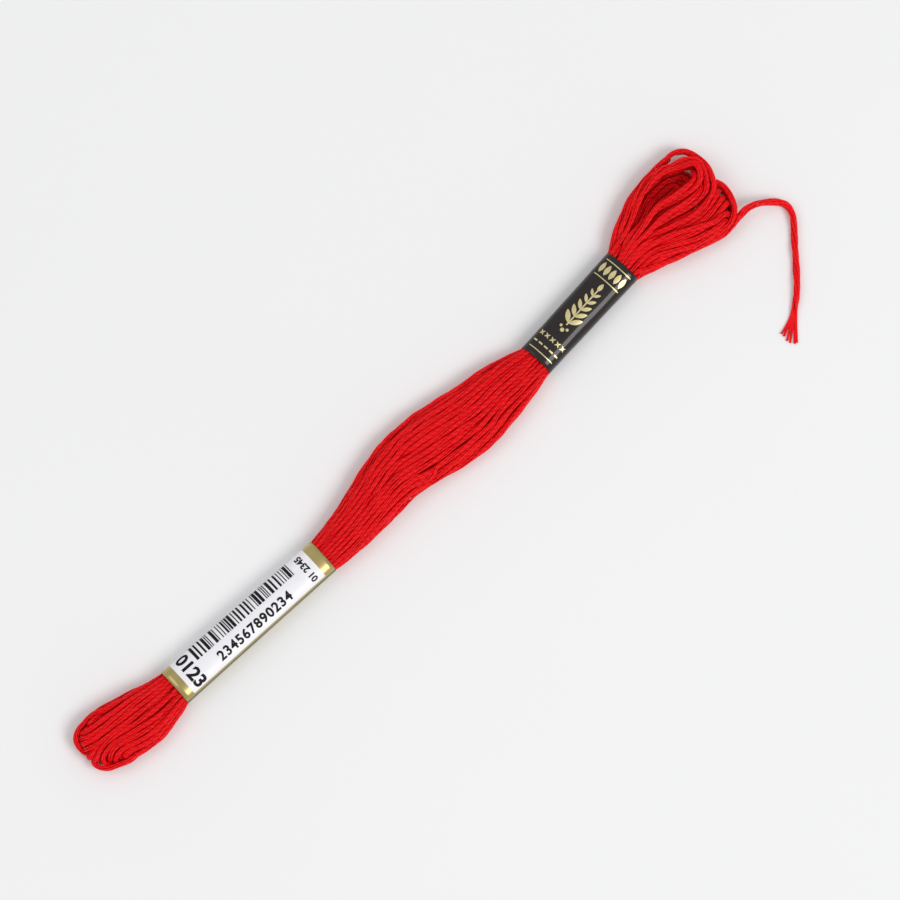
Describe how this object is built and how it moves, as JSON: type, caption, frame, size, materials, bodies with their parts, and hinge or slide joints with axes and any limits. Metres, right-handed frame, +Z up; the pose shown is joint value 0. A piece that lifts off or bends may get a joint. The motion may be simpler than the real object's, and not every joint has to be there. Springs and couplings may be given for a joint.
{
  "type": "skein of embroidery floss",
  "caption": "Pull skein of stranded embroidery floss, lying flat: a folded hank of thread held by two paper bands, with one loose end at its looped end.",
  "frame": {"origin": "on the surface that the skein lies on, under the middle of the hank's box, the loose end left out", "axes": "+X runs along the skein from its folded end to its looped end, +Z is up, and +Y is to the left of +X"},
  "size_m": [0.1764, 0.0439, 0.0066],
  "materials": {
    "floss": "mercerised cotton, six two-ply strands, bright red with a soft sheen",
    "white_gold_paper": "smooth white label paper with printed black bars and numbers, on a metallic gold border",
    "black_gold_paper": "coated glossy black paper with a metallic gold print"
  },
  "bodies": {
    "root": {"hank": "floss", "band_light": "white_gold_paper", "band_dark": "black_gold_paper", "loose_end": "floss"}
  },
  "joints": []
}
